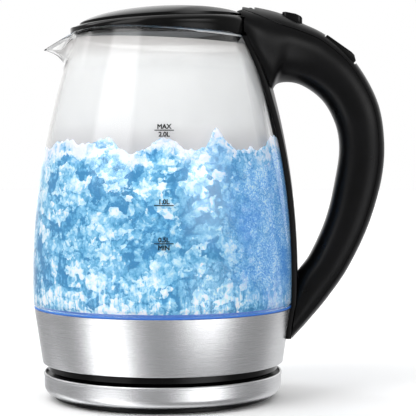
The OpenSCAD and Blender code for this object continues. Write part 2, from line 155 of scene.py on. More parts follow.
def moulded(name, low, high, rough, spread=0.06, grain=900, depth=0.00002, metal=0.0,
            shine=0.5, emit=None, emit_strength=0.0):
    """Moulded or cast material: two close tones in soft blotches, wandering roughness and a fine grain."""
    mat, tree, bsdf, _ = new_material(name)
    blotch = 35
    soft = noise_node(tree, blotch, 5, 0.55)
    tree.links.new(ramp(tree, soft, [(0.3, low), (0.7, high)]), bsdf.inputs["Base Color"])
    wander = ramp(tree, noise_node(tree, blotch * 2.3, 6, 0.6),
                  [(0.3, grey(rough - spread / 2)), (0.7, grey(rough + spread / 2))])
    tree.links.new(wander, bsdf.inputs["Roughness"])
    bsdf.inputs["Metallic"].default_value = metal
    bsdf.inputs["Specular IOR Level"].default_value = shine
    if emit:
        bsdf.inputs["Emission Color"].default_value = (*emit, 1)
        bsdf.inputs["Emission Strength"].default_value = emit_strength
    bump(tree, bsdf, noise_node(tree, grain, 3, 0.6), 0.35, depth)
    return mat


def brushed(name):
    """Steel sheet brushed round the axis: its hair lines stretch reflections up and down."""
    mat, tree, bsdf, _ = new_material(name)
    lines = noise_node(tree, 1, 6, 0.7, stretch=(14, 14, 5200))
    fine = noise_node(tree, 1, 4, 0.8, stretch=(40, 40, 16000))
    hair = math_node(tree, "ADD", math_node(tree, "MULTIPLY", lines, 0.6),
                     math_node(tree, "MULTIPLY", fine, 0.4))
    tree.links.new(ramp(tree, hair, [(0.3, (0.50, 0.505, 0.515)), (0.7, (0.74, 0.745, 0.75))]),
                   bsdf.inputs["Base Color"])
    tree.links.new(ramp(tree, hair, [(0.3, grey(0.30)), (0.7, grey(0.22))]), bsdf.inputs["Roughness"])
    bsdf.inputs["Metallic"].default_value = 1.0
    bsdf.inputs["Anisotropic"].default_value = 0.75
    tangent = node(tree, "ShaderNodeTangent", direction_type="RADIAL", axis="Z")
    tree.links.new(tangent.outputs[0], bsdf.inputs["Tangent"])
    bump(tree, bsdf, hair, 0.25, 0.00002)
    return mat


def glassy(name):
    """Clear glass, barely wavy, that lets light through to what is behind it."""
    mat, tree, bsdf, out = new_material(name)
    bsdf.inputs["Base Color"].default_value = (0.985, 0.985, 0.98, 1)
    bsdf.inputs["Transmission Weight"].default_value = 1.0
    bsdf.inputs["Roughness"].default_value = 0.0
    bsdf.inputs["IOR"].default_value = 1.47
    bump(tree, bsdf, noise_node(tree, 22, 2, 0.4), 0.12, 0.0004)
    clear = node(tree, "ShaderNodeBsdfTransparent")
    clear.inputs[0].default_value = (0.95, 0.955, 0.96, 1)
    path = node(tree, "ShaderNodeLightPath")
    mix = node(tree, "ShaderNodeMixShader")
    tree.links.new(path.outputs["Is Shadow Ray"], mix.inputs[0])
    tree.links.new(bsdf.outputs[0], mix.inputs[1])
    tree.links.new(clear.outputs[0], mix.inputs[2])
    tree.links.new(mix.outputs[0], out.inputs[0])
    return mat


def boiling(name):
    """Boiling water lit blue: bubbly white on the crests over cyan, with painted shade in the hollows and
    painted highlight on the crests, painted facet shading on the chips and a painted blue glow; foam at the
    top, fine bubbles on the handle side.
    """
    mat, tree, bsdf, _ = new_material(name)
    # The relief value colours the water: white on the crests and deep blue in the hollows, partly bubbles and
    # partly painted shade and highlight
    froth_and_relief_shade = node(tree, "ShaderNodeAttribute", attribute_name="froth_and_relief_shade").outputs["Fac"]
    foam = node(tree, "ShaderNodeAttribute", attribute_name="foam").outputs["Fac"]
    coords = node(tree, "ShaderNodeTexCoord").outputs["Object"]

    def warped(scale, reach, stretch):
        n = node(tree, "ShaderNodeTexNoise")
        n.inputs["Scale"].default_value = scale
        n.inputs["Detail"].default_value = 4
        tree.links.new(coords, n.inputs["Vector"])
        shift = node(tree, "ShaderNodeVectorMath", operation="MULTIPLY_ADD")
        tree.links.new(n.outputs["Color"], shift.inputs[0])
        shift.inputs[1].default_value = (reach, reach, reach)
        tree.links.new(coords, shift.inputs[2])
        size = node(tree, "ShaderNodeVectorMath", operation="MULTIPLY")
        tree.links.new(shift.outputs[0], size.inputs[0])
        size.inputs[1].default_value = stretch
        return size.outputs[0]

    def chips(scale, vector):
        n = node(tree, "ShaderNodeTexVoronoi", feature="F1")
        n.inputs["Scale"].default_value = scale
        tree.links.new(vector, n.inputs["Vector"])
        sep = node(tree, "ShaderNodeSeparateColor")
        tree.links.new(n.outputs["Color"], sep.inputs[0])
        # Painted facet shading: each chip's random tone darkens towards its edge
        lit = math_node(tree, "MULTIPLY_ADD", n.outputs["Distance"], -0.45, sep.outputs[0])
        return lit, n.outputs["Distance"]

    bold = warped(70, 0.030, (1, 1, 1.25))
    tight = warped(190, 0.014, (1, 1, 0.9))
    big, big_edge = chips(95, bold)
    small, small_edge = chips(260, tight)
    mid = noise_node(tree, 110, 7, 0.68, 2.2, coords=coords)
    fine = noise_node(tree, 620, 4, 0.7, 1.0, coords=coords)
    parts = [(froth_and_relief_shade, 0.22), (big, 0.27), (small, 0.20), (mid, 0.42), (fine, 0.16)]
    sep = node(tree, "ShaderNodeSeparateXYZ")
    tree.links.new(coords, sep.inputs[0])
    # Upright streaks where bubbles leave the plate
    streaks = noise_node(tree, 330, 4, 0.6, 0.6, (1, 1, 0.16), coords)
    low = math_node(tree, "MULTIPLY_ADD", sep.outputs["Z"], -42.0, 3.75, clamped=True)
    lift = math_node(tree, "MULTIPLY_ADD", streaks, 0.9, -0.40)
    blend = math_node(tree, "MULTIPLY_ADD", foam, 0.20, math_node(tree, "MULTIPLY", low, lift))
    for value, weight in parts:
        blend = math_node(tree, "MULTIPLY_ADD", value, weight, blend)
    colour = ramp(tree, blend, [(0.38, (0.050, 0.26, 0.50)), (0.47, (0.13, 0.43, 0.68)),
                                (0.55, (0.27, 0.60, 0.82)), (0.62, (0.52, 0.78, 0.91)),
                                (0.69, (0.82, 0.92, 0.98)), (0.77, (1.0, 1.0, 1.0))])
    # Fine bubbles on the handle side
    _, dots = chips(980, coords)
    cloud = noise_node(tree, 42, 6, 0.66, 0.8, coords=coords)
    speck = math_node(tree, "ADD", math_node(tree, "MULTIPLY", dots, 0.42),
                      math_node(tree, "ADD", math_node(tree, "MULTIPLY", cloud, 0.60),
                                math_node(tree, "MULTIPLY", small, -0.10)))
    bubbles = ramp(tree, speck, [(0.24, (0.86, 0.95, 1.0)), (0.36, (0.46, 0.74, 0.97)),
                                 (0.48, (0.20, 0.49, 0.85)), (0.62, (0.11, 0.34, 0.76))])
    side = math_node(tree, "MULTIPLY_ADD", sep.outputs["X"], 26.0, -0.72)
    wander = math_node(tree, "MULTIPLY_ADD", noise_node(tree, 38, 5, 0.65, coords=coords), 2.2, -1.1)
    low = math_node(tree, "MULTIPLY", math_node(tree, "SUBTRACT", 0.082, sep.outputs["Z"]), 26.0)
    low = math_node(tree, "MAXIMUM", low, 0.0)
    where = math_node(tree, "SUBTRACT", math_node(tree, "ADD", side, wander), low, clamped=True)
    where = math_node(tree, "MULTIPLY", where, math_node(tree, "SUBTRACT", 1.0, foam), clamped=True)
    mix = node(tree, "ShaderNodeMix", data_type="RGBA")
    tree.links.new(where, mix.inputs["Factor"])
    tree.links.new(colour, mix.inputs[6])
    tree.links.new(bubbles, mix.inputs[7])
    # Violet cast in the foam
    cast = node(tree, "ShaderNodeMix", data_type="RGBA", blend_type="MULTIPLY")
    tree.links.new(foam, cast.inputs["Factor"])
    tree.links.new(mix.outputs[2], cast.inputs[6])
    cast.inputs[7].default_value = (0.84, 0.87, 0.97, 1)
    tree.links.new(cast.outputs[2], bsdf.inputs["Base Color"])
    # Painted glow: emission makes the water shine with the blue light that reaches it
    tree.links.new(cast.outputs[2], bsdf.inputs["Emission Color"])
    bsdf.inputs["Emission Strength"].default_value = 0.18
    bsdf.inputs["Roughness"].default_value = 0.25
    bsdf.inputs["IOR"].default_value = 1.33
    relief = math_node(tree, "ADD", math_node(tree, "MULTIPLY", small_edge, -0.8),
                       math_node(tree, "ADD", math_node(tree, "MULTIPLY", big_edge, -0.8), mid))
    bump(tree, bsdf, relief, 0.5, 0.0012)
    return mat


def mist_with_neck_shade(name):
    """Thin grey mist of steam inside the glass, thicker just over the water and at the neck. Its colour is
    darker grey just over the water and darker at the neck, a painted reflection of the dark collar and lid,
    and it has a faint painted glow.
    """
    mat, tree, bsdf, _ = new_material(name)
    coords = node(tree, "ShaderNodeTexCoord").outputs["Object"]
    sep = node(tree, "ShaderNodeSeparateXYZ")
    tree.links.new(coords, sep.inputs[0])
    soft = noise_node(tree, 26, 4, 0.55, coords=coords)
    height = math_node(tree, "MULTIPLY_ADD", soft, 0.006, sep.outputs["Z"])
    level = math_node(tree, "MULTIPLY_ADD", height, 14.0, -2.2)
    # Darker grey just over the water; darker again at the neck, a painted reflection of the collar and lid
    # above
    tint = ramp(tree, level, [(0.04, (0.54, 0.53, 0.54)), (0.26, grey(0.80)), (0.80, (0.90, 0.90, 0.895)),
                              (0.98, (0.50, 0.48, 0.47))])
    tree.links.new(tint, bsdf.inputs["Base Color"])
    tree.links.new(tint, bsdf.inputs["Emission Color"])
    # Painted glow: emission brightens the mist
    bsdf.inputs["Emission Strength"].default_value = 0.10
    cover = ramp(tree, level, [(0.02, grey(0.66)), (0.26, grey(0.40)), (0.72, grey(0.32)),
                               (0.97, grey(0.66))])
    tree.links.new(cover, bsdf.inputs["Alpha"])
    bsdf.inputs["Roughness"].default_value = 0.7
    bump(tree, bsdf, noise_node(tree, 900, 3, 0.6, coords=coords), 0.2, 0.0001)
    return mat


MATERIALS = {
    "black_gloss": moulded("black_gloss", grey(0.0015), grey(0.003), 0.14, 0.04, 1400, 0.000004, shine=0.16),
    "black_satin": moulded("black_satin", grey(0.0018), (0.0035, 0.0035, 0.004), 0.30, 0.06, 1700, 0.000012,
                           shine=0.13),
    "inner_plastic": moulded("inner_plastic", grey(0.030), grey(0.040), 0.5),
    "ivory_plastic": moulded("ivory_plastic", (0.72, 0.69, 0.60), (0.80, 0.77, 0.69), 0.45),
    "steel_brushed": brushed("steel_brushed"),
    "steel_plain": moulded("steel_plain", grey(0.55), grey(0.68), 0.28, 0.1, 400, 0.00001, metal=1.0),
    "aluminium": moulded("aluminium", grey(0.60), grey(0.70), 0.42, 0.1, 300, 0.00004, metal=1.0),
    "brass": moulded("brass", (0.62, 0.42, 0.14), (0.74, 0.53, 0.20), 0.3, 0.1, 500, 0.00001, metal=1.0),
    "rubber": moulded("rubber", grey(0.018), grey(0.028), 0.75, 0.08, 700, 0.00006),
    "silicone_grey": moulded("silicone_grey", grey(0.20), grey(0.27), 0.6, 0.08, 700, 0.00003),
    # Painted glow: emission makes the blue seal shine with the light of the LEDs beside it
    "silicone_blue": moulded("silicone_blue", (0.02, 0.10, 0.36), (0.03, 0.15, 0.50), 0.4, 0.1, 500, 0.00002,
                             emit=(0.03, 0.16, 0.60), emit_strength=0.3),
    "diffuser_blue": moulded("diffuser_blue", (0.20, 0.42, 0.95), (0.30, 0.55, 1.0), 0.3, 0.1, 500, 0.00002,
                             emit=(0.15, 0.40, 1.0), emit_strength=2.0),
    "circuit_board": moulded("circuit_board", (0.68, 0.70, 0.67), (0.76, 0.78, 0.75), 0.4),
    "led": moulded("led", (0.45, 0.65, 0.95), (0.6, 0.8, 1.0), 0.2, emit=(0.2, 0.45, 1.0), emit_strength=6.0),
    "glass": glassy("glass"),
    "wire_red": moulded("wire_red", (0.35, 0.02, 0.015), (0.45, 0.03, 0.02), 0.4),
    "element": moulded("element", (0.12, 0.11, 0.10), (0.20, 0.18, 0.16), 0.6, 0.15, 350, 0.00008, metal=0.6),
    "water": boiling("water"),
    "steam_mist": mist_with_neck_shade("steam_mist"),
    "print_black": moulded("print_black", grey(0.003), grey(0.008), 0.6, shine=0.1),
}

for name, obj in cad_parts.items():
    old = obj.data.materials[0].name.split(".")[0]
    obj.data.materials.clear()
    obj.data.materials.append(MATERIALS[old])


# ---------------------------------------------------------------- mesh helpers
def add(name, verts, faces, slot, body, replaced=(), sharp=38, look=None):
    """A finished piece from points in mm: outward faces, smooth with crisp edges, on its body."""
    mesh = bpy.data.meshes.new(name)
    mesh.from_pydata([(v[0] * MM, v[1] * MM, v[2] * MM) for v in verts], [], faces)
    mesh.validate()
    return finish_mesh(name, mesh, slot, body, replaced, sharp, look)


def finish_mesh(name, mesh, slot, body, replaced=(), sharp=38, look=None):
    bm = bmesh.new()
    bm.from_mesh(mesh)
    bmesh.ops.remove_doubles(bm, verts=bm.verts, dist=1e-7)
    bmesh.ops.recalc_face_normals(bm, faces=bm.faces)
    bm.to_mesh(mesh)
    bm.free()
    mesh.materials.clear()
    mesh.materials.append(MATERIALS[look or slot])
    mesh.shade_smooth()
    mesh.set_sharp_from_angle(angle=math.radians(sharp))
    obj = bpy.data.objects.new(name, mesh)
    bpy.context.scene.collection.objects.link(obj)
    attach(obj, body)
    if replaced:
        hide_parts(*replaced)
    return obj


def rounded(points, radii, steps=6):
    """Closed outline with its corners rounded; radii is one number or one for each corner."""
    out = []
    n = len(points)
    for i, p in enumerate(points):
        r = radii if isinstance(radii, (int, float)) else radii[i]
        a, b, c = (Vector(points[i - 1]), Vector(p), Vector(points[(i + 1) % n]))
        u, v = (a - b), (c - b)
        if r <= 0 or u.length < 1e-6 or v.length < 1e-6:
            out.append(tuple(b))
            continue
        u.normalize()
        v.normalize()
        half = math.acos(clamp(u.dot(v), -1, 1)) / 2
        if half > math.radians(88):
            out.append(tuple(b))
            continue
        reach = min(r / math.tan(half), (a - b).length * 0.48, (c - b).length * 0.48)
        r = reach * math.tan(half)
        centre = b + (u + v).normalized() * (r / math.sin(half))
        start, end = b + u * reach - centre, b + v * reach - centre
        for k in range(steps + 1):
            d = start.lerp(end, k / steps)
            # Pushing the chord out to the radius is close enough on these small corners
            out.append(tuple(centre + d.normalized() * r))
    return out


def lathe(outline):
    """Solid of revolution of a closed outline of radii and heights."""
    segs = 256
    verts, faces = [], []
    m = len(outline)
    for i in range(segs):
        a = TAU * i / segs
        c, s = math.cos(a), math.sin(a)
        verts += [(r * c, r * s, z) for r, z in outline]
    for i in range(segs):
        p, q = i * m, ((i + 1) % segs) * m
        faces += [(p + j, q + j, q + (j + 1) % m, p + (j + 1) % m) for j in range(m)]
    return verts, faces


def raw_mesh(verts, faces):
    mesh = bpy.data.meshes.new("raw")
    mesh.from_pydata([(v[0] * MM, v[1] * MM, v[2] * MM) for v in verts], [], faces)
    bm = bmesh.new()
    bm.from_mesh(mesh)
    bmesh.ops.remove_doubles(bm, verts=bm.verts, dist=1e-7)
    bmesh.ops.recalc_face_normals(bm, faces=bm.faces)
    bm.to_mesh(mesh)
    bm.free()
    return mesh


def with_modifiers(mesh, *settings):
    """The mesh after modifiers; each is (kind, {values})."""
    holder = bpy.data.objects.new("holder", mesh)
    bpy.context.scene.collection.objects.link(holder)
    helpers = []
    for kind, values in settings:
        modifier = holder.modifiers.new(kind.lower(), kind)
        for key, value in values.items():
            if key == "cutter":
                helper = bpy.data.objects.new("helper", value)
                bpy.context.scene.collection.objects.link(helper)
                helpers.append(helper)
                modifier.object = helper
                modifier.solver = "EXACT"
            else:
                setattr(modifier, key, value)
    bpy.context.view_layer.update()
    result = bpy.data.meshes.new_from_object(holder.evaluated_get(bpy.context.evaluated_depsgraph_get()))
    for obj in [holder, *helpers]:
        bpy.data.objects.remove(obj)
    return result


def cut(mesh, *cutters):
    return with_modifiers(mesh, *[("BOOLEAN", {"operation": "DIFFERENCE", "cutter": c}) for c in cutters])


def both(mesh, other):
    return with_modifiers(mesh, ("BOOLEAN", {"operation": "INTERSECT", "cutter": other}))


def softened(mesh, width):
    """The mesh with its edges rounded off."""
    return with_modifiers(mesh, ("BEVEL", {"width": width * MM, "segments": 3, "limit_method": "ANGLE",
                                           "angle_limit": math.radians(30), "harden_normals": False}))


def prism(outline, y0, y1):
    """Straight prism along Y of an outline in X and Z."""
    n = len(outline)
    verts = [(x, y, z) for y in (y0, y1) for x, z in outline]
    faces = [tuple(range(n)), tuple(reversed(range(n, 2 * n)))]
    faces += [(i, (i + 1) % n, n + (i + 1) % n, n + i) for i in range(n)]
    return raw_mesh(verts, faces)


def block(x0, x1, y0, y1, z0, z1):
    return prism([(x0, z0), (x1, z0), (x1, z1), (x0, z1)], y0, y1)


def on_seam(x, y, z):
    """From the tilted frame of the lid's seam to the object's frame."""
    c, s = math.cos(SEAM_TILT), math.sin(SEAM_TILT)
    return (x * c - z * s, y, SEAM_Z + x * s + z * c)


def neck_height(x):
    return NECK - x * math.tan(NECK_TILT)


# ---------------------------------------------------------------- glass jug with its pulled spout
SPOUT_FROM, SPOUT_WIDE = 207, math.radians(9.5)
SPOUT_TIP = (-76.0, 219.6)
LIP = 1.5


def rim_height(theta):
    """Height of the sloping glass rim at an angle."""
    return neck_height(glass_r(NECK) * math.cos(theta))


def wall_point(theta, z, inset):
    """Point of the glass wall at an angle and height; near the lip it is pulled out into the spout."""
    top = rim_height(theta)
    r = glass_r(z) - inset
    x, y = r * math.cos(theta), r * math.sin(theta)
    off = theta % TAU - math.pi
    pull = math.exp(-(off / SPOUT_WIDE) ** 2) * (clamp((z - SPOUT_FROM) / (top - SPOUT_FROM)) ** 1.6)
    out = -SPOUT_TIP[0] - glass_r(rim_height(math.pi))
    drop = rim_height(math.pi) - SPOUT_TIP[1]
    return (x - out * pull, y * (1 - 0.15 * pull), z - drop * pull)


def glass_jug():
    count = 288
    thetas = []  # angles crowd towards the spout
    for i in range(count):
        t = i / count * 2 - 1
        thetas.append(math.pi + math.pi * (0.45 * t + 0.55 * t ** 3))
    turn = [math.pi * k / 8 for k in range(9)]
    verts = []
    for th in thetas:
        top = rim_height(th)
        foot = [(GLASS_FOOT + LIP - LIP * math.sin(a), LIP - LIP * math.cos(a)) for a in turn]
        levels = [GLASS_FOOT + LIP + (SPOUT_FROM - 4 - GLASS_FOOT - LIP) * k / 60 for k in range(1, 61)]
        levels += [SPOUT_FROM - 4 + (top - LIP - SPOUT_FROM + 4) * k / 30 for k in range(1, 31)]
        path = foot + [(z, GLASS_WALL) for z in levels]
        path += [(top - LIP + LIP * math.sin(a), LIP + LIP * math.cos(a)) for a in turn[1:-1]]
        path += [(z, 0) for z in reversed(levels)]
        verts += [wall_point(th, z, inset) for z, inset in path]
    m = len(path)
    faces = []
    for i in range(count):
        p, q = i * m, ((i + 1) % count) * m
        faces += [(p + j, q + j, q + (j + 1) % m, p + (j + 1) % m) for j in range(m)]
    return verts, faces


add("jug_glass", *glass_jug(), "glass", "jug", ("glass_body",), sharp=60)


# ---------------------------------------------------------------- boiling water
WATER_FOOT, WATER_TOP = 60.6, 157.0
# Splashes: x, y, height, reach
SPLASHES = [(33, -62, 11, 6.5), (-33, -60, 6, 9), (-58, -38, 6, 14), (2, -68, 5, 9), (66, -22, 7, 12),
            (-14, -66, -4, 7), (20, 60, 9, 8), (-40, 52, 8, 10), (14, -66, -4, 6), (48, -50, -3, 9)]
noise.seed_set(4)  # without it noise_vector starts from the clock and the froth differs each time


def churn(p):
    """Rough water at a point: 0 in the hollows to about 1 on the crests."""
    v = Vector(p)
    warp = noise.noise_vector(v * 0.035) * 11 + noise.noise_vector(v * 0.11) * 3.2
    w = v + warp
    big = 0.5 + 0.5 * noise.noise(w * 0.055)
    ridge = 1 - abs(noise.noise(w * 0.10)) * 2.0
    chips = noise.voronoi(w * 0.085)[0]
    edge = clamp((chips[1] - chips[0]) * 1.5)
    small = 0.5 + 0.5 * noise.fractal(w * 0.25, 0.8, 2.1, 3)
    return clamp(0.30 * big + 0.25 * ridge + 0.30 * edge + 0.25 * small - 0.1)


def surface_z(x, y):
    """Height of the heaving top of the water."""
    p = Vector((x, y, 0))
    swell = noise.noise(p * 0.035 + Vector((3, 7, 1))) * 2.5 + noise.noise(p * 0.09 + Vector((1, 2, 9))) * 3.0
    chop = noise.fractal(p * 0.22 + Vector((5, 5, 5)), 0.9, 2, 3) * 1.8
    thrown = sum(h * math.exp(-((x - sx) ** 2 + (y - sy) ** 2) / (reach * reach))
                 for sx, sy, h, reach in SPLASHES)
    return WATER_TOP + swell + chop + thrown


def boiling_water():
    """Water whose outer skin lies just inside the glass, so that it is seen to fill the jug to its edge."""
    segs, rows, rings = 560, 230, 60
    verts, faces, froth_and_relief_shade, foam = [], [], [], []
    turns = [(math.cos(TAU * i / segs), math.sin(TAU * i / segs)) for i in range(segs)]
    edge_r = glass_r(WATER_TOP) - GLASS_WALL
    tops = [surface_z(edge_r * c, edge_r * s) for c, s in turns]
    for j in range(rows):
        t = j / (rows - 1)
        for (c, s), top in zip(turns, tops):
            z = WATER_FOOT + (top - WATER_FOOT) * t
            wall = glass_r(z) - GLASS_WALL
            k = churn((wall * c, wall * s, z))
            r = wall + (0.4 + 1.6 * k) * smoothstep(0, 0.02, t) - 1.2 * smoothstep(0.985, 1.0, t)
            verts.append((r * c, r * s, z))
            # The relief value also sets the colour: partly bubbles, partly painted shade in the hollows
            froth_and_relief_shade.append(k)
            foam.append(smoothstep(top - 15, top - 3, z + 5 * (k - 0.5)))
    for j in range(rows - 1):
        for i in range(segs):
            a, b = j * segs + i, j * segs + (i + 1) % segs
            faces.append((a, b, b + segs, a + segs))
    last = (rows - 1) * segs
    for k in range(1, rings):
        f = 1 - k / rings
        for i, (c, s) in enumerate(turns):
            x0, y0, z0 = verts[last + i]
            x, y = x0 * f, y0 * f
            verts.append((x, y, surface_z(x, y) * (1 - f ** 8) + z0 * f ** 8))
            froth_and_relief_shade.append(0.5)
            foam.append(0.8)
    for k in range(rings - 1):
        base = last + k * segs
        faces += [(base + i, base + (i + 1) % segs, base + (i + 1) % segs + segs, base + i + segs)
                  for i in range(segs)]
    base = last + (rings - 1) * segs
    centre = len(verts)
    verts.append((0, 0, surface_z(0, 0)))
    faces += [(base + i, base + (i + 1) % segs, centre) for i in range(segs)]
    low = len(verts)
    verts += [(72.8 * c, 72.8 * s, 57.6) for c, s in turns]
    faces += [((i + 1) % segs, i, low + i, low + (i + 1) % segs) for i in range(segs)]
    faces.append(tuple(low + i for i in range(segs)))
    mesh = bpy.data.meshes.new("boiling_water")
    mesh.from_pydata([(x * MM, y * MM, z * MM) for x, y, z in verts], [], faces)
    for name, values in (("froth_and_relief_shade", froth_and_relief_shade), ("foam", foam)):
        layer = mesh.attributes.new(name, "FLOAT", "POINT")
        layer.data.foreach_set("value", values + [0.5] * (len(verts) - len(values)))
    return mesh


finish_mesh("boiling_water", boiling_water(), "water", "jug", sharp=180)


def steam_mist():
    """A skin of mist just inside the glass over the water."""
    segs, rows = 192, 60
    verts, faces = [], []
    for inset in (GLASS_WALL + 0.1, GLASS_WALL + 0.25):
        for j in range(rows):
            for i in range(segs):
                th = TAU * i / segs
                z = 150 + (rim_height(th) - 6 - 150) * j / (rows - 1)
                verts.append(wall_point(th, z, inset))
    size = rows * segs
    for side in (0, 1):
        for j in range(rows - 1):
            for i in range(segs):
                a, b = side * size + j * segs + i, side * size + j * segs + (i + 1) % segs
                quad = (a, b, b + segs, a + segs)
                faces.append(quad if side == 0 else quad[::-1])
    for j in (0, rows - 1):
        for i in range(segs):
            a, b = j * segs + i, j * segs + (i + 1) % segs
            quad = (b, a, a + size, b + size)
            faces.append(quad if j == 0 else quad[::-1])
    return verts, faces


add("steam_mist", *steam_mist(), "water", "jug", sharp=180, look="steam_mist")


# ---------------------------------------------------------------- steel band, base ring and base cover
def lathed(name, outline, slot, body, replaced, cutters):
    finish_mesh(name, cut(raw_mesh(*lathe(outline)), *cutters), slot, body, replaced)


def drill(at, toward, r, length):
    """Cutter: a round hole from a point along a direction."""
    segs = 32
    turn = Vector((0, 0, 1)).rotation_difference(Vector(toward)).to_matrix()
    ring = [turn @ Vector((r * math.cos(TAU * i / segs), r * math.sin(TAU * i / segs), 0))
            for i in range(segs)]
    a, b = Vector(at), Vector(at) + Vector(toward).normalized() * length
    verts = [tuple(a + p) for p in ring] + [tuple(b + p) for p in ring]
    faces = [tuple(range(segs)), tuple(range(segs, 2 * segs))]
    faces += [(i, (i + 1) % segs, segs + (i + 1) % segs, segs + i) for i in range(segs)]
    return raw_mesh(verts, faces)


SHEET = 0.9
BASE_R, BASE_H = 75, 17
BAND_LIP_R = 72.8
foot_holes = [drill((70, 0, 43.5), (1, 0, 0), 3.6, 20), drill((70, 8, 47.4), (1, 0, 0), 1.8, 20),
              drill((70, -8, 47.4), (1, 0, 0), 1.8, 20)]
band_outline = rounded(
    [(BAND_LIP_R, BAND_Z0), (BAND_R0, BAND_Z0), (BAND_R1, BAND_Z1), (BAND_R1 - 2.2, BAND_Z1),
     (BAND_R1 - 2.2, BAND_Z1 - SHEET), (BAND_R1 - SHEET - 0.1, BAND_Z1 - SHEET),
     (BAND_R0 - SHEET + 0.1, BAND_Z0 + SHEET), (BAND_LIP_R, BAND_Z0 + SHEET)],
    [0.2, 0.8, 0.35, 0.1, 0.1, 0.1, 0.1, 0.1])
lathed("band_brushed", band_outline, "steel_brushed", "jug", ("steel_band",), foot_holes)


def arc(cx, cz, r, a0, a1, steps=12):
    return [(cx + r * math.cos(math.radians(a0 + (a1 - a0) * k / steps)),
             cz + r * math.sin(math.radians(a0 + (a1 - a0) * k / steps))) for k in range(steps + 1)]


RING_TURN_R, RING_TURN_Z = 6, 9.2
ring_outline = [(BASE_R, BASE_H - 1.7), (BASE_R + 0.35, BASE_H - 1.35), (BASE_R + 0.35, BASE_H - 0.45)]
ring_outline += arc(BASE_R - 0.45, BASE_H - 0.45, 0.7, 10, 90, 6) + [(BASE_R - SHEET, BASE_H)]
ring_outline += arc(BASE_R - RING_TURN_R, RING_TURN_Z, RING_TURN_R - SHEET, 0, -80)
ring_outline += arc(BASE_R - RING_TURN_R, RING_TURN_Z, RING_TURN_R, -80, 0)
lathed("base_ring_brushed", ring_outline, "steel_brushed", "power_base", ("base_trim_ring",),
       [drill((0, 60, GLAND_Z), (0, 1, 0), GLAND_HOLE_R, 20)])

# ---------------------------------------------------------------- collar
def collar():
    shoulder = arc(COLLAR_R - 4, -3.4, 4, 0, 62, 10)
    rim = rounded([(53.4, 0.9), (LID_R + 0.5, 0.9), (LID_R + 0.5, 0), (COLLAR_BORE + 0.3, 0)],
                  [0.3, 0.3, 0, 0], 3)
    segs = 256
    verts = []
    for i in range(segs):
        c, s = math.cos(TAU * i / segs), math.sin(TAU * i / segs)
        column = [on_seam(r * c, r * s, z) for r, z in shoulder + rim]
        under = neck_height(COLLAR_R * c) + 0.2
        column += [(COLLAR_BORE * c, COLLAR_BORE * s, 226.5), (51.4 * c, 51.4 * s, 226.3)]
        column += [(51.4 * c, 51.4 * s, max(under, 226.9)), (57.6 * c, 57.6 * s, under)]
        column += [(58.1 * c, 58.1 * s, under + 0.15), (58.3 * c, 58.3 * s, under + 0.6)]
        verts += column
    m = len(column)
    faces = []
    for i in range(segs):
        p, q = i * m, ((i + 1) % segs) * m
        faces += [(p + j, q + j, q + (j + 1) % m, p + (j + 1) % m) for j in range(m)]
    return raw_mesh(verts, faces)


LUG_SPANS = (LUGS, (-LUGS[1], -LUGS[0]))
lug_slots = [block(48, 60, a, b, HINGE_SLOT_Z, 250) for a, b in LUG_SPANS]
latch_slot = block(45, 61, -5.6, 5.6, 228.9, 231.7)
finish_mesh("collar_gloss", cut(collar(), *lug_slots, latch_slot), "black_gloss", "jug", ("collar",))


def hinge_webs():
    """The collar's hinge knuckles on their webs, bored for the pin."""
    outline = [(HINGE_X - KNUCKLE_R, 234), (57.4, 234), (57.4, HINGE_Z)]
    outline += arc(HINGE_X, HINGE_Z, KNUCKLE_R, 0, 180, 20)
    verts, faces = [], []
    for y0, y1 in KNUCKLES:
        bore = drill((HINGE_X, y0 - 1, HINGE_Z), (0, 1, 0), PIN_R, y1 - y0 + 2)
        web = softened(cut(prism(outline, y0, y1), bore), 0.2)
        start = len(verts)
        verts += [tuple(v.co / MM) for v in web.vertices]
        faces += [tuple(start + k for k in poly.vertices) for poly in web.polygons]
    return verts, faces


add("collar_hinge_webs", *hinge_webs(), "black_gloss", "jug")


# ---------------------------------------------------------------- lid
def dome(r):
    return DOME_H * (1 - (r / DOME_END) ** 2) ** 0.55


def lid_cap():
    steps = 40
    outer = [(LID_R * math.cos(math.pi / 2 * k / steps), dome(LID_R * math.cos(math.pi / 2 * k / steps)))
             for k in range(steps + 1)]
    inner_r = LID_R - 2.2
    inner = [(inner_r * math.cos(math.pi / 2 * k / 20), dome(LID_R * math.cos(math.pi / 2 * k / 20)) - 2.2)
             for k in range(21)]
    corner = rounded([(LID_R - 3, 0.4), (LID_R, 0.4), outer[0], outer[2]], [0, 0.4, 0.9, 0], 5)
    outline = corner[:-1] + outer[2:-1] + [(0, outer[-1][1]), (0, inner[-1][1])]
    outline += inner[-2::-1] + [(inner_r, 0.4)]
    verts, faces = lathe(outline[1:])
    return raw_mesh([on_seam(*v) for v in verts], faces)


lid_slots = [block(46.5, 54.5, a, b, 236, 248) for a, b in LUG_SPANS]
finish_mesh("lid_gloss", cut(lid_cap(), *lid_slots), "black_gloss", "lid", ("lid_cap",))

# ---------------------------------------------------------------- handle
# Stations along the grip, as the CAD has them: outer x, outer z, inner x, inner z, half width
STATIONS = [(50, 246.6, 47, 222, 31), (60, 245.8, 57, 205, 30), (74.6, 242.4, 66, 190, 24.5),
            (88, 236.4, 72.5, 198.5, 19.5), (103.5, 228.6, 86, 198.3, 16), (121.4, 212.4, 100.4, 188.6, 14.6),
            (135.4, 188, 109, 174, 14), (140, 163, 111.8, 159, 14), (138.4, 138, 110, 142, 14),
            (130, 108.6, 103.8, 114.5, 14), (117.3, 82, 93.6, 91, 14), (104.6, 63.4, 84.5, 78, 14.4),
            (92, 48.3, 78, 62, 15), (82, 37.5, 72, 48, 15.6)]
COVER_HALF, COVER_GAP = 50, 0.8


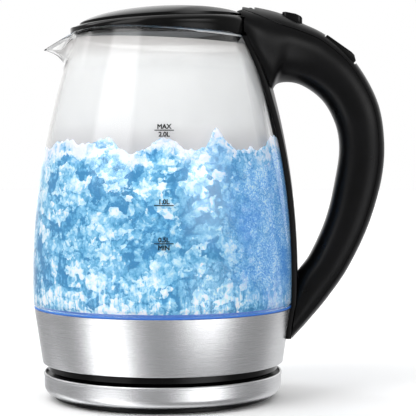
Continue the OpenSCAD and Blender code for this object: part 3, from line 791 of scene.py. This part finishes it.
def smooth_rows(rows, n):
    """Catmull-Rom through rows of numbers."""
    out = []
    last = len(rows) - 1
    for i in range(last):
        p0, p1, p2, p3 = rows[max(i - 1, 0)], rows[i], rows[i + 1], rows[min(i + 2, last)]
        for k in range(n + (i == last - 1)):
            t = k / n
            out.append([0.5 * (2 * b + (c - a) * t + (2 * a - 5 * b + 4 * c - d) * t * t
                               + (3 * b - a - 3 * c + d) * t ** 3) for a, b, c, d in zip(p0, p1, p2, p3)])
    return out


def grip_point(station, degrees, inset):
    ox, oz, ix, iz, half = station
    out, inn = Vector((ox, oz)), Vector((ix, iz))
    centre, u = (out + inn) / 2, (out - inn).normalized()
    deep = (out - inn).length / 2 - inset
    a = math.radians(degrees)

    def power(v):
        return math.copysign(abs(v) ** (2 / GRIP_POWER), v)
    p = centre + u * deep * power(math.cos(a))
    return (p.x, (half - inset) * power(math.sin(a)), p.y)


def grip_shell(a0, a1, count):
    """C-shaped shell of the grip between two angles of its section."""
    verts, faces = [], []
    rows = smooth_rows(STATIONS, 9)
    soft = 0.35
    for st in rows:
        ring = [grip_point(st, a0, soft)]
        ring += [grip_point(st, a0 + 0.9 + (a1 - a0 - 1.8) * k / count, 0) for k in range(count + 1)]
        ring += [grip_point(st, a1, soft)]
        ring += [grip_point(st, a1 + (a0 - a1) * k / count, SHELL_T) for k in range(count + 1)]
        verts += ring
    m = len(ring)
    for i in range(len(rows) - 1):
        for j in range(m):
            faces.append((i * m + j, i * m + (j + 1) % m, (i + 1) * m + (j + 1) % m, (i + 1) * m + j))
    half = count + 3
    for base, flip in ((0, False), ((len(rows) - 1) * m, True)):
        for j in range(half - 2):
            # outer points j, j+1 against the inner points across the wall
            inner = m - 1 - max(j - 1, 0)
            quad = (base + j, base + j + 1, base + m - 1 - min(max(j, 0), count), base + inner)
            quad = tuple(dict.fromkeys(quad))
            if len(quad) > 2:
                faces.append(quad if flip else quad[::-1])
        faces.append(tuple(base + k for k in (half - 2, half - 1, m - 1 - count)))
    return raw_mesh(verts, faces)


def keep_out():
    """What the handle's shells stay clear of: the wall with its strip, the collar, the lid and the hinge."""
    outline = [(0, 20)]
    for k in range(60):
        z = 30 + (228.6 - 30) * k / 59
        outline.append(((band_r(z) if z < BAND_Z1 else glass_r(z)) + STRIP_T + 0.5, z))
    outline += [(59.2, 228.6), (59.2, 237.4), (53.8, 240.2), (53.8, 260), (0, 260)]
    return raw_mesh(*lathe(outline))


def on_switch(x, y, z):
    c, s = math.cos(SWITCH_SLOPE), math.sin(SWITCH_SLOPE)
    return (SWITCH_AT[0] + x * c + z * s, y, SWITCH_AT[1] - x * s + z * c)


def tilted(mesh, place):
    for v in mesh.vertices:
        v.co = Vector(place(*(v.co / MM))) * MM
    return mesh


def plan_block(x0, x1, half_y, r, z0, z1):
    """Upright block with rounded corners in plan."""
    outline = []
    corners = ((x1 - r, half_y - r, 0), (x0 + r, half_y - r, 90), (x0 + r, r - half_y, 180),
               (x1 - r, r - half_y, 270))
    for cx, cy, a in corners:
        outline += arc(cx, cy, r, a, a + 90, 8)
    n = len(outline)
    verts = [(x, y, z) for z in (z0, z1) for x, y in outline]
    faces = [tuple(range(n)), tuple(range(n, 2 * n))]
    faces += [(i, (i + 1) % n, n + (i + 1) % n, n + i) for i in range(n)]
    return raw_mesh(verts, faces)


hinge_pocket = block(30, 57.8, -18.6, 18.6, 230, 260)
button_hole = plan_block(74.8, 88.2, 9.4, 3, 225, 255)
switch_hole = tilted(block(-0.1, 26.2, -8.5, 8.5, -8, 12), on_switch)
under_shell = cut(grip_shell(COVER_HALF + COVER_GAP, 360 - COVER_HALF - COVER_GAP, 96), keep_out(),
                  hinge_pocket)
palm_cover = cut(grip_shell(-COVER_HALF, COVER_HALF, 40), keep_out(), hinge_pocket, button_hole, switch_hole)
finish_mesh("handle_shell", under_shell, "black_satin", "jug", ("handle_body",), sharp=42)
finish_mesh("handle_palm_cover", palm_cover, "black_satin", "jug", ("handle_cover",), sharp=42)


def glass_strip():
    """The strip that the handle stands on, a curved skin on the glass and band."""
    widths = smooth_rows([(13.6, 36), (14.6, 80), (15, 140), (18.6, 172), (24, 202), (31, 232)], 12)
    z0, z1, rows, cols = 38, 226.2, 150, 36
    verts, faces = [], []

    def half_width(z):
        for (w0, a), (w1, b) in zip(widths, widths[1:]):
            if a <= z <= b:
                return w0 + (w1 - w0) * (z - a) / (b - a)
        return widths[-1][0]
    for j in range(rows + 1):
        z = z0 + (z1 - z0) * j / rows
        wall = band_r(z) if z < BAND_Z1 else glass_r(z)
        inner, outer = wall + 0.3, wall + STRIP_T + 0.3
        half = half_width(z)
        ring = []
        soft = 0.8
        for k in range(cols + 1):
            y = (half - soft) * (2 * k / cols - 1)
            ring.append((outer, y))
        ring += [(outer - 0.25, half - 0.25), (outer - soft, half), (inner, half), (inner, -half),
                 (outer - soft, -half), (outer - 0.25, 0.25 - half)]
        verts += [(math.sqrt(max(r * r - y * y, 1)), y, z) for r, y in ring]
    m = len(ring)
    for j in range(rows):
        for k in range(m):
            faces.append((j * m + k, j * m + (k + 1) % m, (j + 1) * m + (k + 1) % m, (j + 1) * m + k))
    faces += [tuple(range(m)), tuple(range(rows * m, (rows + 1) * m))]
    return verts, faces


add("glass_side_strip", *glass_strip(), "black_satin", "jug", ("handle_strip",), sharp=42)

# ---------------------------------------------------------------- button and switch
button_side = prism([(70, 234), (92, 234), (92, 237.8), (88, 239), (86.8, 240.2), (83.5, 241.7), (77, 243),
                     (74, 243)], -20, 20)
button = softened(both(plan_block(75.2, 87.8, 9, 3, 233.4, 250), button_side), 0.7)
finish_mesh("lid_button", button, "black_gloss", "button", ("release_button",))

rocker = prism([(0.4, -5), (24.6, -5), (24.9, -1.4), (21.6, 0.8), (19, 1), (0.5, -1.1)], -SWITCH_Y, SWITCH_Y)
finish_mesh("switch_rocker", softened(tilted(rocker, on_switch), 0.6), "black_gloss", "switch",
            ("power_switch",))

# ---------------------------------------------------------------- printed level marks
PRINT_X, PRINT_H, LINE_LONG, LINE_THICK = 3.1, 2.75, 11.4, 0.6
MARKS = [(167.5, "MAX", "2.0L"), (123.8, "1.0L", None), (101.8, "0.5L", "MIN")]


def letters(text):
    curve = bpy.data.curves.new("letters", "FONT")
    curve.body = text
    curve.align_x = "CENTER"
    curve.size = PRINT_H / 0.72
    curve.resolution_u = 6
    curve.bevel_depth = 0.14
    curve.bevel_resolution = 1
    holder = bpy.data.objects.new("letters", curve)
    bpy.context.scene.collection.objects.link(holder)
    bpy.context.view_layer.update()
    mesh = bpy.data.meshes.new_from_object(holder.evaluated_get(bpy.context.evaluated_depsgraph_get()))
    bpy.data.objects.remove(holder)
    points = [tuple(v.co) for v in mesh.vertices]
    faces = [tuple(p.vertices) for p in mesh.polygons]
    bpy.data.meshes.remove(mesh)
    return points, faces


def printed_marks():
    verts, faces = [], []

    def lay(points, polys, z0):
        start = len(verts)
        for x, y, z_out in points:
            z = z0 + y
            r = glass_r(z) + 0.15 + z_out
            a = -math.pi / 2 + (PRINT_X + x) / r
            verts.append((r * math.cos(a), r * math.sin(a), z))
        faces.extend(tuple(start + k for k in poly) for poly in polys)

    for z, over, under in MARKS:
        steps = 24
        bar = [(LINE_LONG * (k / steps - 0.5), s * LINE_THICK / 2, 0)
               for s in (-1, 1) for k in range(steps + 1)]
        lay(bar, [(k, k + 1, k + steps + 2, k + steps + 1) for k in range(steps)], z)
        lay(*letters(over), z + 0.9)
        if under:
            lay(*letters(under), z - 0.9 - PRINT_H)
    return verts, faces


add("level_marks", *printed_marks(), "print_black", "jug", sharp=180)

# ---------------------------------------------------------------- floor, studio light
FLOOR_HALF = 6.0


def floor():
    mesh = bpy.data.meshes.new("floor")
    n = 4
    mesh.from_pydata([(FLOOR_HALF * (2 * i / n - 1), FLOOR_HALF * (2 * j / n - 1), 0) for j in range(n + 1)
                      for i in range(n + 1)], [],
                     [(j * (n + 1) + i, j * (n + 1) + i + 1, (j + 1) * (n + 1) + i + 1, (j + 1) * (n + 1) + i)
                      for j in range(n) for i in range(n)])
    obj = bpy.data.objects.new("floor", mesh)
    bpy.context.scene.collection.objects.link(obj)
    mat = bpy.data.materials.new("floor")
    mat.use_nodes = True
    tree = mat.node_tree
    tree.nodes.clear()
    out = tree.nodes.new("ShaderNodeOutputMaterial")
    matte = node(tree, "ShaderNodeBsdfDiffuse")
    matte.inputs[0].default_value = (0.93, 0.93, 0.93, 1)
    shine = node(tree, "ShaderNodeBsdfGlossy")
    shine.inputs["Color"].default_value = (0.78, 0.78, 0.79, 1)
    shine.inputs["Roughness"].default_value = 0.25
    path = node(tree, "ShaderNodeLightPath")
    mix = node(tree, "ShaderNodeMixShader")
    tree.links.new(path.outputs["Is Glossy Ray"], mix.inputs[0])
    tree.links.new(matte.outputs[0], mix.inputs[1])
    tree.links.new(shine.outputs[0], mix.inputs[2])
    tree.links.new(mix.outputs[0], out.inputs[0])
    mesh.materials.append(mat)


def studio():
    """White all round to the eye and through the glass; soft boxes for what reflects and what is lit."""
    world = bpy.data.worlds.new("studio")
    bpy.context.scene.world = world
    world.use_nodes = True
    tree = world.node_tree
    tree.nodes.clear()
    out = tree.nodes.new("ShaderNodeOutputWorld")
    coords = node(tree, "ShaderNodeTexCoord").outputs["Generated"]
    sep = node(tree, "ShaderNodeSeparateXYZ")
    tree.links.new(coords, sep.inputs[0])
    # degrees round from the front: left is negative
    flipped = math_node(tree, "MULTIPLY", sep.outputs["Y"], -1.0)
    around = math_node(tree, "DEGREES", math_node(tree, "ARCTAN2", sep.outputs["X"], flipped))
    above = math_node(tree, "DEGREES", math_node(tree, "ARCSINE", sep.outputs["Z"]))

    def box_light(a0, a1, e0, e1, soft_a, soft_e, power):
        def edge(value, lo, soft, rising):
            n = node(tree, "ShaderNodeMapRange", interpolation_type="SMOOTHSTEP")
            tree.links.new(value, n.inputs["Value"])
            n.inputs["From Min"].default_value = lo - soft
            n.inputs["From Max"].default_value = lo + soft
            n.inputs["To Min"].default_value = 0.0 if rising else 1.0
            n.inputs["To Max"].default_value = 1.0 if rising else 0.0
            return n.outputs[0]
        total = math_node(tree, "MULTIPLY", edge(around, a0, soft_a, True), edge(around, a1, soft_a, False))
        total = math_node(tree, "MULTIPLY", total, edge(above, e0, soft_e, True))
        total = math_node(tree, "MULTIPLY", total, edge(above, e1, soft_e, False))
        return math_node(tree, "MULTIPLY", total, power)

    light = AMBIENT
    for spec in SOFT_BOXES:
        light = math_node(tree, "ADD", box_light(*spec), light)
    lit = node(tree, "ShaderNodeBackground")
    lit.inputs["Color"].default_value = (1, 1, 1, 1)
    tree.links.new(light, lit.inputs["Strength"])
    white = node(tree, "ShaderNodeBackground")
    white.inputs["Color"].default_value = (1, 1, 1, 1)
    path = node(tree, "ShaderNodeLightPath")
    tree.links.new(math_node(tree, "MULTIPLY_ADD", path.outputs["Is Transmission Ray"], -0.08, 1.0),
                   white.inputs["Strength"])
    seen = math_node(tree, "MAXIMUM", path.outputs["Is Camera Ray"], path.outputs["Is Transmission Ray"])
    mix = node(tree, "ShaderNodeMixShader")
    tree.links.new(seen, mix.inputs[0])
    tree.links.new(lit.outputs[0], mix.inputs[1])
    tree.links.new(white.outputs[0], mix.inputs[2])
    tree.links.new(mix.outputs[0], out.inputs[0])


# from, to round the object; from, to above the floor; soft edges; brightness
AMBIENT = 0.46
SOFT_BOXES = [
    (-70, -30, 13, 62, 5, 4, 3.4),
    (-132, -108, 24, 80, 4, 4, 2.4),
    (-178, -152, -5, 60, 12, 8, 0.9),
    (24, 60, 5, 21, 15, 5, 4.6),
    (120, 170, 4, 60, 12, 10, 0.9),
    (-400, 400, 62, 200, 5, 10, 1.2),
]
floor()
studio()
bpy.context.scene.view_settings.view_transform = "Standard"
bpy.context.scene.view_settings.look = "None"
